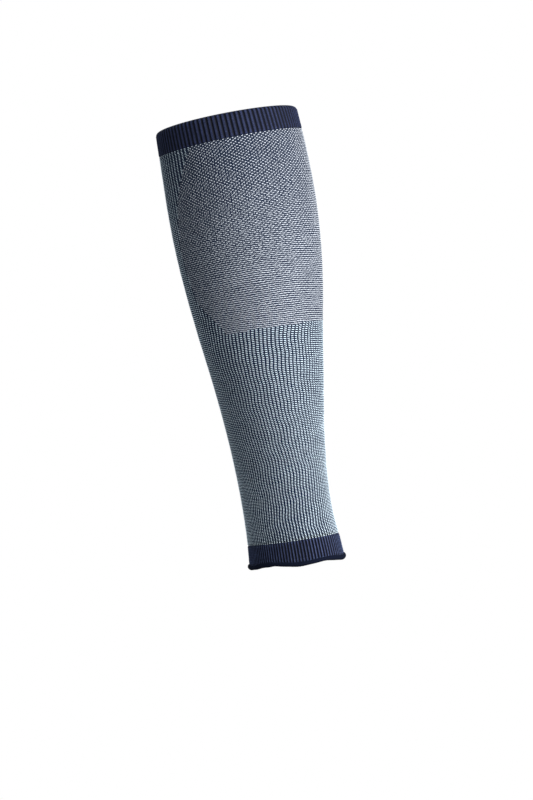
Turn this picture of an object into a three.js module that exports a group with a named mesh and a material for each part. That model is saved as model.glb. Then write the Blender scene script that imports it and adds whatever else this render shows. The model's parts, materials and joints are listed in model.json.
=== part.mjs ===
// Calf compression sleeve: one seamless knitted tube, made up of a ribbed top welt, the leg,
// a ribbed ankle welt and the rolled edge that finishes it. Millimetres, +Z up.
// The origin lies on the leg's middle line at the calf's fullest girth. The shin faces -Y and
// the calf +Y. The sleeve keeps its worn, hollow form and leans with the leg.

import * as THREE from 'three';

// ---------- Driving dimensions ----------

// Cross-sections square to the middle line, from the knee end down. `at` is the height along
// that line; side, front and back are how far the cloth's outer face lies from it.
const SECTIONS = [
  { at: 76, side: 53.5, front: 56.0, back: 52.0 },
  { at: 40, side: 54.5, front: 54.8, back: 59.0 },
  { at: 6, side: 54.9, front: 54.2, back: 61.8 },
  { at: -25, side: 54.0, front: 52.6, back: 60.2 },
  { at: -55, side: 51.0, front: 51.0, back: 57.0 },
  { at: -85, side: 46.3, front: 49.4, back: 52.6 },
  { at: -115, side: 41.3, front: 46.6, back: 49.2 },
  { at: -145, side: 36.8, front: 43.9, back: 45.2 },
  { at: -175, side: 33.1, front: 42.1, back: 40.9 },
  { at: -205, side: 31.0, front: 41.0, back: 37.8 },
  { at: -230, side: 30.6, front: 40.6, back: 37.6 },
  { at: -250, side: 31.5, front: 40.4, back: 41.0 },
  { at: -272, side: 33.0, front: 42.2, back: 43.6 },
];

// The calf zone: a panel of flat knit down the back of the leg, where the leg's ribs stop. It
// reaches `half` degrees to each side of the middle of the calf, and ends at the last row.
const CALF_ZONE = [
  { at: 58, half: 65 },
  { at: 38, half: 78 },
  { at: 12, half: 92 },
  { at: -26, half: 101 },
  { at: -62, half: 96 },
  { at: -76, half: 83 },
  { at: -90, half: 70 },
];

// The edges and seams, each a tilted ring: height at the middle line, and slope in degrees
// rising towards `heading`. Headings are in degrees from +X to +Y.
const TOP_EDGE = { at: 69.9, slope: 1.9, heading: 135, waves: [] };
const TOP_SEAM = { at: 51.9, slope: 2.4, heading: 150, waves: [] };
const ANKLE_SEAM = { at: -248.2, slope: 0.4, heading: -140, waves: [] };

// The rolled edge is soft, so its seam also waves: `count` waves of `height` round the leg, with
// a crest at heading `crest`.
const ROLL_WAVES = [
  { count: 5, height: 0.8, crest: 86 },
  { count: 2, height: 0.5, crest: 170 },
];
const ROLL_SEAM = { at: -263.7, slope: 1.6, heading: 15, waves: ROLL_WAVES };

const LEAN = 9; // degrees that the middle line leans from upright
const LEAN_HEADING = -35; // where its upper end leans, in degrees from +X to +Y

const SEAM_GAP = 0.3; // between neighbouring pieces
const LEG_WALL = 1.2; // single knit
const WELT_WALL = 2.0; // top welt, folded double
const ANKLE_WALL = 1.8;
const RIB_COUNT = 96; // ribs round the tube, running on from welt to welt
const WELT_RIB = 0.7; // height of a welt's ribs, crest above groove
const LEG_RIB = 0.5; // height of the leg's ribs
const FOLD_RADIUS = 2.6; // how the top fold rounds over
const ROLL_RADIUS = 1.5; // of the rolled edge's section
const ROLL_PROUD = 0.85; // how far the roll stands outside the welt

const LEG_ROWS = 14;
const ROLL_COLUMNS = 96;
const ROLL_SIDES = 8;
const OUTLINE_STEPS = 360; // for spacing points evenly along an outline

// ---------- The leg's form ----------

// A size from SECTIONS at height `at`, along a smooth curve through the rows.
function sectionSize(key, at) {
  const last = SECTIONS.length - 1;
  let row = SECTIONS.findIndex((section) => section.at <= at);
  row = THREE.MathUtils.clamp(row === -1 ? last : row, 1, last);
  const upper = SECTIONS[row - 1];
  const lower = SECTIONS[row];
  const above = SECTIONS[Math.max(row - 2, 0)];
  const below = SECTIONS[Math.min(row + 1, last)];
  const step = lower.at - upper.at;
  const t = (at - upper.at) / step;
  const slopeUpper = ((lower[key] - above[key]) / (lower.at - above.at)) * step;
  const slopeLower = ((below[key] - upper[key]) / (below.at - upper.at)) * step;
  const t2 = t * t;
  const t3 = t2 * t;
  return (
    (2 * t3 - 3 * t2 + 1) * upper[key] +
    (t3 - 2 * t2 + t) * slopeUpper +
    (3 * t2 - 2 * t3) * lower[key] +
    (t3 - t2) * slopeLower
  );
}

// The outline at height `at`: two half-ellipses, one round the calf and one round the shin.
// Returns the point at `turn` (radians, from +X to +Y) and the way out of the cloth there.
function outlinePoint(turn, at) {
  const side = sectionSize('side', at);
  const depth = sectionSize(Math.sin(turn) > 0 ? 'back' : 'front', at);
  const x = side * Math.cos(turn);
  const y = depth * Math.sin(turn);
  const out = new THREE.Vector2(Math.cos(turn) / side, Math.sin(turn) / depth).normalize();
  return { x, y, out };
}

// `count` turns, evenly spaced along the cloth, that start at the middle of the calf.
function evenTurns(count, at) {
  const start = Math.PI / 2;
  const lengths = [0];
  let before = outlinePoint(start, at);
  for (let step = 1; step <= OUTLINE_STEPS; step += 1) {
    const here = outlinePoint(start + (2 * Math.PI * step) / OUTLINE_STEPS, at);
    lengths.push(lengths[step - 1] + Math.hypot(here.x - before.x, here.y - before.y));
    before = here;
  }
  const turns = [];
  let step = 1;
  for (let column = 0; column < count; column += 1) {
    const wanted = (lengths[OUTLINE_STEPS] * column) / count;
    while (lengths[step] < wanted) {
      step += 1;
    }
    const share = (wanted - lengths[step - 1]) / (lengths[step] - lengths[step - 1]);
    turns.push(start + (2 * Math.PI * (step - 1 + share)) / OUTLINE_STEPS);
  }
  return turns;
}

// 1 where the leg is ribbed and 0 in the calf zone.
function legRibbing(turn, at) {
  const lower = CALF_ZONE.findIndex((row) => row.at <= at);
  if (lower < 1) {
    return lower === 0 ? 0 : 1;
  }
  const above = CALF_ZONE[lower - 1];
  const below = CALF_ZONE[lower];
  const half = THREE.MathUtils.mapLinear(at, above.at, below.at, above.half, below.half);
  const fromMiddle = THREE.MathUtils.euclideanModulo(turn + Math.PI / 2, 2 * Math.PI) - Math.PI;
  return Math.abs(fromMiddle) > THREE.MathUtils.degToRad(half) ? 1 : 0;
}

function edgeHeight(edge, x, y, turn) {
  const heading = THREE.MathUtils.degToRad(edge.heading);
  const rise = Math.tan(THREE.MathUtils.degToRad(edge.slope));
  const along = x * Math.cos(heading) + y * Math.sin(heading);
  const wave = edge.waves.reduce((sum, { count, height, crest }) => {
    return sum + height * Math.cos(count * (turn - THREE.MathUtils.degToRad(crest)));
  }, 0);
  return edge.at + rise * along + wave;
}

// ---------- Walls of cloth ----------

// One ring of a wall. `share` runs from the lower edge (0) to the upper (1), `lift` is added to
// the height, `inset` is how far the ring lies inside the outer face, `rib` is the height of its
// ribs, and `ribbing` says how much of that a place takes.
function wallRing(lower, upper, row) {
  const middle = THREE.MathUtils.lerp(lower.at, upper.at, row.share) + row.lift;
  return evenTurns(row.columns, middle).map((turn, column) => {
    const guess = outlinePoint(turn, middle);
    const low = edgeHeight(lower, guess.x, guess.y, turn);
    const high = edgeHeight(upper, guess.x, guess.y, turn);
    const at = THREE.MathUtils.lerp(low, high, row.share) + row.lift;
    const { x, y, out } = outlinePoint(turn, at);
    const ribbing = row.ribbing ? row.ribbing(turn, at) : 1;
    const inwards = row.inset + (column % 2 ? row.rib * ribbing : 0);
    return new THREE.Vector3(x - inwards * out.x, y - inwards * out.y, at);
  });
}

// Triangles between two neighbouring rings, where one may have twice the other's columns.
function ringStrip(first, second, firstStart, secondStart) {
  const columns = Math.min(first.length, second.length);
  const a = (column, half) => firstStart + wrapColumn(first, columns, column, half);
  const b = (column, half) => secondStart + wrapColumn(second, columns, column, half);
  const faces = [];
  for (let column = 0; column < columns; column += 1) {
    const next = column + 1;
    if (first.length > columns) {
      faces.push(a(column, 0), a(column, 1), b(column, 0));
      faces.push(a(column, 1), b(next, 0), b(column, 0));
      faces.push(a(column, 1), a(next, 0), b(next, 0));
    } else if (second.length > columns) {
      faces.push(a(column, 0), b(column, 1), b(column, 0));
      faces.push(a(column, 0), a(next, 0), b(column, 1));
      faces.push(a(next, 0), b(next, 0), b(column, 1));
    } else {
      faces.push(a(column, 0), a(next, 0), b(next, 0));
      faces.push(a(column, 0), b(next, 0), b(column, 0));
    }
  }
  return faces;
}

// The place in a ring of a shared column, or of the point halfway to the next one.
function wrapColumn(ring, columns, column, half) {
  const perColumn = ring.length / columns;
  return (column * perColumn + half) % ring.length;
}

// A closed wall through rings that go up the outside, over, down the inside and under.
function wallGeometry(lower, upper, rows) {
  const rings = rows.map((row) => wallRing(lower, upper, row));
  const starts = [];
  const positions = [];
  for (const ring of rings) {
    starts.push(positions.length / 3);
    ring.forEach((point) => positions.push(point.x, point.y, point.z));
  }
  const faces = [];
  rings.forEach((ring, index) => {
    const next = (index + 1) % rings.length;
    faces.push(...ringStrip(ring, rings[next], starts[index], starts[next]));
  });
  const geometry = new THREE.BufferGeometry();
  geometry.setAttribute('position', new THREE.Float32BufferAttribute(positions, 3));
  geometry.setIndex(faces);
  geometry.computeVertexNormals();
  return geometry;
}

// ---------- The pieces ----------

const RIBBED = 2 * RIB_COUNT; // columns on a ribbed face: a crest and a groove for each rib
const PLAIN = RIB_COUNT; // columns on a plain face

// The folded welt at the knee end: ribs outside, and an upper edge that rounds over inwards.
function topWelt() {
  const fold = (turnDegrees) => {
    const turn = THREE.MathUtils.degToRad(turnDegrees);
    return {
      share: 1,
      lift: FOLD_RADIUS * (Math.sin(turn) - 1),
      inset: FOLD_RADIUS * (1 - Math.cos(turn)),
    };
  };
  const rows = [
    { share: 0, lift: SEAM_GAP / 2, inset: 0.4, rib: 0.4 * WELT_RIB, columns: RIBBED },
    { share: 0, lift: 1.0, inset: 0, rib: WELT_RIB, columns: RIBBED },
    { share: 0.45, lift: 0, inset: 0, rib: WELT_RIB, columns: RIBBED },
    { ...fold(0), rib: WELT_RIB, columns: RIBBED },
    { ...fold(35), rib: WELT_RIB, columns: RIBBED },
    { ...fold(62), rib: 0.7 * WELT_RIB, columns: RIBBED },
    { ...fold(85), rib: 0, columns: PLAIN },
    { share: 1, lift: -0.7, inset: FOLD_RADIUS + 0.9, rib: 0, columns: PLAIN },
    { share: 1, lift: -2.6, inset: FOLD_RADIUS + 0.5, rib: 0, columns: PLAIN },
    { share: 0.45, lift: 0, inset: WELT_WALL, rib: 0, columns: PLAIN },
    { share: 0, lift: SEAM_GAP / 2, inset: WELT_WALL - 0.3, rib: 0, columns: PLAIN },
  ];
  return wallGeometry(TOP_SEAM, TOP_EDGE, rows);
}

// The leg: single knit, ribbed but for the calf zone. Its dots are in the yarn's colour alone.
function legTube() {
  const outside = [];
  const inside = [];
  for (let step = 0; step <= LEG_ROWS; step += 1) {
    const share = step / LEG_ROWS;
    const lift = (SEAM_GAP / 2) * (1 - 2 * share);
    outside.push({ share, lift, inset: 0, rib: LEG_RIB, ribbing: legRibbing, columns: RIBBED });
    inside.unshift({ share, lift, inset: LEG_WALL, rib: 0, columns: PLAIN });
  }
  return wallGeometry(ANKLE_SEAM, TOP_SEAM, [...outside, ...inside]);
}

// The ribbed welt above the ankle.
function ankleWelt() {
  const rows = [
    { share: 0, lift: SEAM_GAP, inset: 0.4, rib: 0.4 * WELT_RIB, columns: RIBBED },
    { share: 0, lift: 1.2, inset: 0, rib: WELT_RIB, columns: RIBBED },
    { share: 0.5, lift: 0, inset: 0, rib: WELT_RIB, columns: RIBBED },
    { share: 1, lift: -1.0, inset: 0, rib: WELT_RIB, columns: RIBBED },
    { share: 1, lift: -SEAM_GAP / 2, inset: 0.3, rib: 0.4 * WELT_RIB, columns: RIBBED },
    { share: 1, lift: -SEAM_GAP / 2, inset: ANKLE_WALL - 0.3, rib: 0, columns: PLAIN },
    { share: 0.5, lift: 0, inset: ANKLE_WALL, rib: 0, columns: PLAIN },
    { share: 0, lift: SEAM_GAP, inset: ANKLE_WALL - 0.2, rib: 0, columns: PLAIN },
  ];
  return wallGeometry(ROLL_SEAM, ANKLE_SEAM, rows);
}

// The rolled edge: the last courses curled outwards into a round bead.
function rolledEdge() {
  const rows = [];
  for (let side = 0; side < ROLL_SIDES; side += 1) {
    const turn = (2 * Math.PI * (side + 0.5)) / ROLL_SIDES - Math.PI / 2;
    rows.push({
      share: 0,
      lift: ROLL_RADIUS * (Math.sin(turn) - 1),
      inset: ROLL_RADIUS * (1 - Math.cos(turn)) - ROLL_PROUD,
      rib: 0,
      columns: ROLL_COLUMNS,
    });
  }
  return wallGeometry(ROLL_SEAM, ANKLE_SEAM, rows);
}

function cloth(name, geometry, color, roughness) {
  const material = new THREE.MeshStandardMaterial({ color, roughness, metalness: 0 });
  const mesh = new THREE.Mesh(geometry, material);
  mesh.name = name;
  return mesh;
}

const sleeve = new THREE.Group();
sleeve.add(cloth('top_welt', topWelt(), '#262b40', 0.9));
sleeve.add(cloth('leg_tube', legTube(), '#7d8896', 0.9));
sleeve.add(cloth('ankle_welt', ankleWelt(), '#2a3044', 0.9));
sleeve.add(cloth('rolled_edge', rolledEdge(), '#10131f', 0.9));

const leanHeading = THREE.MathUtils.degToRad(LEAN_HEADING);
const leanAxis = new THREE.Vector3(-Math.sin(leanHeading), Math.cos(leanHeading), 0);
sleeve.quaternion.setFromAxisAngle(leanAxis, THREE.MathUtils.degToRad(LEAN));

export default sleeve;
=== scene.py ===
# %% [markdown]
# # A calf compression sleeve
# This is one seamless tube from a small circular knitting machine. It has a ribbed welt at the
# knee, a leg of navy ground yarn with pale stitches on it, a ribbed welt above the ankle, and a
# last few courses that curl outwards into a dark bead.
# The frame is loaded first. It fixes the size and place of everything, and nothing in it is
# moved: each piece below is laid on the form that its solid has.

import json
import math
from collections import namedtuple

import bpy
import numpy as np
from mathutils import Matrix, Vector
from mathutils.bvhtree import BVHTree

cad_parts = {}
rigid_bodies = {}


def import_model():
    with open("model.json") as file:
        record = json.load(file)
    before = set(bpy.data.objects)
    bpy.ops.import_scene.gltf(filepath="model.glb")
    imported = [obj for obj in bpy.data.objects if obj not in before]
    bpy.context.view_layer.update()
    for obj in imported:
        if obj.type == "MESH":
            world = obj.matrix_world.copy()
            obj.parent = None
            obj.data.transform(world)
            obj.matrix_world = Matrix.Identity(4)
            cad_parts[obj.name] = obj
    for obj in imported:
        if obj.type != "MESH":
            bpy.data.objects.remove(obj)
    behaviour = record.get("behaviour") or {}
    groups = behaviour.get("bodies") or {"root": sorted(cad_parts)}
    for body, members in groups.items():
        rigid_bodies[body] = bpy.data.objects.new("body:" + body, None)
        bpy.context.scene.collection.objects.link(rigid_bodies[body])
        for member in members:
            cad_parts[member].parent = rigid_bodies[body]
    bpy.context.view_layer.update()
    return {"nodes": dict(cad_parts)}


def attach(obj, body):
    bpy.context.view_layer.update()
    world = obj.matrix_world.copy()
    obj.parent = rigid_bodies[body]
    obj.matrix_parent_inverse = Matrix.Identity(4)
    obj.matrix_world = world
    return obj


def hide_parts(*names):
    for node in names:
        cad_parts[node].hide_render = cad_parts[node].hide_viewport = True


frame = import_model()
print("nodes:", sorted(frame["nodes"]))

# %% [markdown]
# ## The form of the leg
# A sleeve takes its shape from the leg, so the form could be sculpted, or subdivided from a
# rough tube. Here it is worked out from a short table of cross-sections instead, because the
# same few numbers then place the ground, every stitch and both welts. The sizes are the solid's
# own, in millimetres along the leg's middle line, and `MM` turns them into metres at the end.

# %% Sections, edges and the calf zone
MM = 0.001

Section = namedtuple("Section", "at side front back")
SECTIONS = [
    Section(76, 53.5, 56.0, 52.0),
    Section(40, 54.5, 54.8, 59.0),
    Section(6, 54.9, 54.2, 61.8),
    Section(-25, 54.0, 52.6, 60.2),
    Section(-55, 51.0, 51.0, 57.0),
    Section(-85, 46.3, 49.4, 52.6),
    Section(-115, 41.3, 46.6, 49.2),
    Section(-145, 36.8, 43.9, 45.2),
    Section(-175, 33.1, 42.1, 40.9),
    Section(-205, 31.0, 41.0, 37.8),
    Section(-230, 30.6, 40.6, 37.6),
    Section(-250, 31.5, 40.4, 41.0),
    Section(-272, 33.0, 42.2, 43.6),
]

Reach = namedtuple("Reach", "at half")  # half: degrees to each side of the middle of the calf
CALF_ZONE = [
    Reach(58, 65),
    Reach(38, 78),
    Reach(12, 92),
    Reach(-26, 101),
    Reach(-62, 96),
    Reach(-76, 83),
    Reach(-90, 70),
]

Wave = namedtuple("Wave", "count height crest")
Edge = namedtuple("Edge", "at slope heading waves")
TOP_EDGE = Edge(69.9, 1.9, 135, [])
TOP_SEAM = Edge(51.9, 2.4, 150, [])
ANKLE_SEAM = Edge(-248.2, 0.4, -140, [])
ROLL_SEAM = Edge(-263.7, 1.6, 15, [Wave(5, 0.8, 86), Wave(2, 0.5, 170)])

LEAN = 9
LEAN_HEADING = -35
SEAM_GAP = 0.3
RIBS = 96
OUTLINE_STEPS = 360
print(f"{len(SECTIONS)} sections from {SECTIONS[-1].at} to {SECTIONS[0].at} mm, {RIBS} ribs")

# %% Points on the form
ROWS_UP = sorted(SECTIONS)
HEIGHTS = np.array([row.at for row in ROWS_UP], float)


def size_at(column, at):
    """A size from the sections at height `at`, on a smooth curve through the rows."""
    sizes = np.array([getattr(row, column) for row in ROWS_UP], float)
    last = len(sizes) - 1
    before = np.maximum(np.arange(last + 1) - 1, 0)
    after = np.minimum(np.arange(last + 1) + 1, last)
    slopes = (sizes[after] - sizes[before]) / (HEIGHTS[after] - HEIGHTS[before])
    low = np.clip(np.searchsorted(HEIGHTS, at) - 1, 0, last - 1)
    step = HEIGHTS[low + 1] - HEIGHTS[low]
    t = (at - HEIGHTS[low]) / step
    start = (2 * t**3 - 3 * t**2 + 1) * sizes[low] + (t**3 - 2 * t**2 + t) * step * slopes[low]
    end = (3 * t**2 - 2 * t**3) * sizes[low + 1] + (t**3 - t**2) * step * slopes[low + 1]
    return start + end


def outline(turn, at):
    """The cloth's outer face at `turn` and height `at`, and the way out of it there."""
    side = size_at("side", at)
    depth = np.where(np.sin(turn) > 0, size_at("back", at), size_at("front", at))
    point = np.stack([side * np.cos(turn), depth * np.sin(turn)], -1)
    out = np.stack([np.cos(turn) / side, np.sin(turn) / depth], -1)
    return point, out / np.linalg.norm(out, axis=-1, keepdims=True)


def even_turns(shares, at):
    """Turns at these shares of the way round the cloth, from the middle of the calf."""
    steps = np.linspace(0, 2 * math.pi, OUTLINE_STEPS + 1) + math.pi / 2
    point, _ = outline(steps, at)
    lengths = np.concatenate([[0], np.cumsum(np.linalg.norm(np.diff(point, axis=0), axis=1))])
    laps = np.floor(shares)
    return np.interp(shares - laps, lengths / lengths[-1], steps) + 2 * math.pi * laps


def edge_height(edge, point, turn):
    heading = math.radians(edge.heading)
    along = point[..., 0] * math.cos(heading) + point[..., 1] * math.sin(heading)
    waves = sum(w.height * np.cos(w.count * (turn - math.radians(w.crest))) for w in edge.waves)
    return edge.at + math.tan(math.radians(edge.slope)) * along + waves


def ring(shares, lower, upper, share, lift=0.0, inset=0.0):
    """Points round the leg between two edges, and the turn and height of each."""
    middle = lower.at + (upper.at - lower.at) * share + lift
    turn = even_turns(shares, middle)
    guess, _ = outline(turn, middle)
    low = edge_height(lower, guess, turn)
    high = edge_height(upper, guess, turn)
    at = low + (high - low) * share + lift
    point, out = outline(turn, at)
    return np.column_stack([point - out * np.reshape(inset, (-1, 1)), at]), turn, at


lean_axis = Vector((-math.sin(math.radians(LEAN_HEADING)), math.cos(math.radians(LEAN_HEADING)), 0))
LEANING = np.array(Matrix.Rotation(math.radians(LEAN), 3, lean_axis))


def to_frame(points):
    """From millimetres along the upright middle line to metres in the leaning frame."""
    return np.asarray(points) @ LEANING.T * MM


def distance_to_node(node, points):
    """How far points lie from a CAD node: the mean and the largest, in millimetres."""
    mesh = frame["nodes"][node].data
    tree = BVHTree.FromPolygons([v.co for v in mesh.vertices], [p.vertices for p in mesh.polygons])
    away = [tree.find_nearest(Vector(point))[3] / MM for point in points]
    return np.mean(away), np.max(away)


crests = np.arange(RIBS) / RIBS
trial = [ring(crests, ANKLE_SEAM, TOP_SEAM, share)[0] for share in (0.1, 0.35, 0.6, 0.9)]
mean_off, most_off = distance_to_node("leg_tube", to_frame(np.concatenate(trial)))
print(f"form from the solid, mm: mean {mean_off:.3f}, most {most_off:.3f}")

# %% [markdown]
# ## Wales and courses
# Knitting is counted in wales, the upright columns of loops, and courses, the rows. The machine
# makes its loops smaller towards the ankle, where the sleeve squeezes most, and the widest part
# of the calf pulls the courses there closer together. A worn tube also never hangs quite true:
# its wales wander to each side on their way down, and its courses sag behind the calf. All this
# is in one function that turns a rib number and a course number into a place on the leg, so
# that the ground's ribs and the stitches on them always agree.

# %% Where a rib and a course lie
Pitch = namedtuple("Pitch", "at pitch")  # pitch: millimetres from one course to the next
COURSE_PITCHES = [
    Pitch(-250, 1.08),
    Pitch(-215, 1.12),
    Pitch(-190, 1.16),
    Pitch(-166, 1.24),
    Pitch(-142, 1.31),
    Pitch(-118, 1.36),
    Pitch(-94, 1.45),
    Pitch(-60, 1.50),
    Pitch(-22, 1.44),
    Pitch(0, 1.25),
    Pitch(24, 1.21),
    Pitch(53, 1.13),
]
Sag = namedtuple("Sag", "at depth")  # depth: millimetres that a course drops behind the calf
SAGS = [Sag(-220, 0), Sag(-130, 4.5), Sag(-30, 5.5), Sag(30, 0)]
SAG_HEADING = 145  # degrees: where round the leg the courses drop most
Drift = namedtuple("Drift", "at shift")  # shift: millimetres that the wales have moved round
DRIFTS = [
    Drift(-248, 0),
    Drift(-238, -0.2),
    Drift(-208, 2.5),
    Drift(-185, 1.1),
    Drift(-142, -4.1),
    Drift(-118, -4.1),
    Drift(-100, -4.6),
    Drift(-82, 0),
]
Sway = namedtuple("Sway", "height length twist start")  # twist: waves gained round the leg
WALE_SWAY = [
    Sway(0.34, 29, 2, 0.6),
    Sway(0.20, 17.5, -5, 2.1),
    Sway(0.20, 47, 3, 4.0),
    Sway(0.10, 9.5, 11, 1.3),
]
COURSE_SWAY = [Sway(0.30, 71, 3, 1.0), Sway(0.16, 26, -7, 3.3), Sway(0.10, 13, 17, 5.1)]

fine_heights = np.linspace(ANKLE_SEAM.at, TOP_SEAM.at, 1201)
pitches = np.interp(fine_heights, [p.at for p in COURSE_PITCHES], [p.pitch for p in COURSE_PITCHES])
course_counts = np.concatenate([[0], np.cumsum(np.diff(fine_heights) / pitches[1:])])
COURSES = int(round(course_counts[-1]))


def course_share(course):
    """The share of the way up the leg at which a course lies."""
    scaled = np.asarray(course, float) * course_counts[-1] / COURSES
    height = np.interp(scaled, course_counts, fine_heights)
    return (height - ANKLE_SEAM.at) / (TOP_SEAM.at - ANKLE_SEAM.at)


def sway(waves, shares, at):
    """A soft wave, in millimetres, that changes up the leg and round it."""
    return sum(
        w.height * np.sin(2 * math.pi * (at / w.length + w.twist * shares) + w.start)
        for w in waves
    )


def drift_at(at):
    """How far the wales have moved round the leg at this height, with its corners rounded off."""
    spread = at + np.array([-8, -4, 0, 4, 8])
    return np.mean(np.interp(spread, [row.at for row in DRIFTS], [row.shift for row in DRIFTS]))


def knit_ring(ribs, course, inset=0.0):
    """Points at these rib numbers along one course, with the turn and height of each."""
    share = float(course_share(course))
    middle = ANKLE_SEAM.at + (TOP_SEAM.at - ANKLE_SEAM.at) * share
    girth = 2 * math.pi * math.sqrt(size_at("side", middle) * size_at("front", middle))
    calm = np.clip(min(course, COURSES - course) / 8, 0, 1)  # the seams hold the first courses
    shares = ribs / RIBS
    loose = calm * np.interp(middle, (-150, 0), (1, 0.5))  # the calf pulls its wales straighter
    moved = shares + (loose * sway(WALE_SWAY, shares, middle) + calm * drift_at(middle)) / girth
    point, turn, at = ring(moved, ANKLE_SEAM, TOP_SEAM, share, 0.0, inset)
    depth = np.interp(middle, [sag.at for sag in SAGS], [sag.depth for sag in SAGS])
    drop = depth * (0.375 - (0.5 + 0.5 * np.cos(turn - math.radians(SAG_HEADING))) ** 2)
    lift = calm * (sway(COURSE_SWAY, shares, middle) + drop)
    point[:, 2] += lift
    return point, turn, at + lift


def beyond_zone(turn, at):
    """How many degrees a place lies outside the calf zone; less than 0 inside it."""
    rows = sorted(CALF_ZONE)
    half = np.interp(at, [row.at for row in rows], [row.half for row in rows])
    from_middle = np.mod(turn + math.pi / 2, 2 * math.pi) - math.pi
    side = np.degrees(np.abs(from_middle)) - half
    below = (rows[0].at - at) * 1.5
    return np.maximum(side, below)


print(f"{COURSES} courses, {RIBS * COURSES} stitches")

# %% [markdown]
# ## Walls of cloth
# Every wall here is a closed shell: rings that run up the outside, over the edge, down the
# inside and back under. A Solidify modifier could give a single sheet its thickness, but rings
# let the inside stay plain under the ribs. Each shell carries two UV maps: one counts ribs and
# courses, for the materials, and one lays the whole shell out flat.

# %% A closed shell from rings
def new_object(name, mesh):
    piece = bpy.data.objects.new(name, mesh)
    bpy.context.scene.collection.objects.link(piece)
    return piece


def closed_shell(name, rings, courses, inside_from=None, rises=None):
    """A wall through rings, with a closing strip. `courses` holds each ring's course number."""
    count, columns = len(rings), len(rings[0])
    strip, column = np.meshgrid(np.arange(count), np.arange(columns), indexing="ij")
    above = (strip + 1) % count
    right = (column + 1) % columns
    corners = [(strip, column), (strip, right), (above, right), (above, column)]
    faces = np.stack([row * columns + place for row, place in corners], -1).reshape(-1, 4)
    mesh = bpy.data.meshes.new(name)
    mesh.from_pydata(to_frame(np.concatenate(rings)).tolist(), [], faces.tolist())
    across = np.stack([column, column + 1, column + 1, column], -1) / columns
    up = np.stack([strip, strip, strip + 1, strip + 1], -1) / count
    course = np.asarray(courses, float)
    knit_up = np.stack([course[strip], course[strip], course[above], course[above]], -1)
    for layer, values in (("knit", (across * RIBS, knit_up)), ("OFBake", (across, up))):
        uv = mesh.uv_layers.new(name=layer)
        uv.data.foreach_set("uv", np.stack(values, -1).astype(np.float32).ravel())
    if inside_from is not None:
        inner = (strip >= inside_from).astype(np.int32).ravel()
        mesh.polygons.foreach_set("material_index", inner)
    # The rises become the height in `place`, which the yarn shader turns into painted shade.
    if rises is not None:
        rise = np.concatenate(rises).astype(np.float32)
        place = mesh.attributes.new("place", "FLOAT_VECTOR", "POINT")
        place.data.foreach_set("vector", np.column_stack([rise * 0, rise * 0, rise]).ravel())
        tint = mesh.attributes.new("tint", "FLOAT", "POINT")
        rib_tints = np.random.default_rng(5).random(RIBS)
        of_rib = (np.arange(columns) * RIBS / columns + 0.5).astype(int) % RIBS
        tint.data.foreach_set("value", np.tile(rib_tints[of_rib], count).astype(np.float32))
    mesh.shade_smooth()
    return new_object(name, mesh)


# %% [markdown]
# ## The leg's ground
# On the real sleeve a navy yarn, plated with elastic, makes the ground. In the rib zone it draws
# together into ribs, and down the back of the calf it lies flat. The ground could be knitted
# stitch by stitch, but it hardly shows between the pale yarns, so it is one thin shell whose
# outer points dip between the ribs.

# %% The ground shell
GROUND_INSET = 0.45
RIB_DIP = 0.55
INNER_INSET = 1.3
COLUMNS_PER_RIB = 4
GROUND_STEP = 4  # courses from one ring of the ground to the next
BORDER = 4.0  # degrees over which the ribs fade into the calf zone

ground_ribs = np.arange(RIBS * COLUMNS_PER_RIB) / COLUMNS_PER_RIB
ground_courses = np.unique(np.append(np.arange(0, COURSES, GROUND_STEP), COURSES)).astype(float)


def rib_dip(ribs, turn, at):
    """How far the ground lies below the crests of its ribs."""
    ribbing = np.clip(beyond_zone(turn, at) / BORDER, 0, 1)
    groove = 0.5 - 0.5 * np.cos(2 * math.pi * ribs)
    return RIB_DIP * ribbing * groove


def ground_ring(course, inset, dip):
    point, turn, at = knit_ring(ground_ribs, course)
    if not dip:
        return knit_ring(ground_ribs, course, inset)[0]
    return knit_ring(ground_ribs, course, inset + rib_dip(ground_ribs, turn, at))[0]


def seam_lift(rings, courses):
    """Keeps the gap at each seam, shared out along the wall."""
    for points, course in zip(rings, courses):
        points[:, 2] += SEAM_GAP / 2 * (1 - 2 * course / COURSES)
    return rings


outer = [ground_ring(course, GROUND_INSET, True) for course in ground_courses]
inner_courses = ground_courses[::-2]
inner = [ground_ring(course, INNER_INSET, False) for course in inner_courses]
all_courses = list(ground_courses) + list(inner_courses)
rings = seam_lift(outer + inner, all_courses)
leg_ground = closed_shell("leg_ground", rings, all_courses, len(outer))
print("leg_ground:", len(leg_ground.data.polygons), "faces")

# %% [markdown]
# ## A stitch
# A knitted loop shows as a V: two legs of yarn that rise from the loop below and part at the
# shoulders. A true loop is a long curve and thousands of them would be far too heavy, so a
# stitch is only the part that shows: two plump leaves of yarn, a dozen triangles each, shaded
# smooth. It is one unit wide and long and one high, and it is scaled where it is set.

# %% The stitch mesh
LEAF_STEPS = [0.0, 0.24, 0.6, 0.88, 1.0]  # along a leaf, from its foot to its shoulder
LEAF_HALF_WIDTHS = [0.0, 0.19, 0.27, 0.19, 0.0]
RIDGE_HEIGHTS = [0.72, 1.0, 0.8]
FOOT = (0.1, -0.62)
SHOULDER = (0.27, 0.56)


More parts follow.
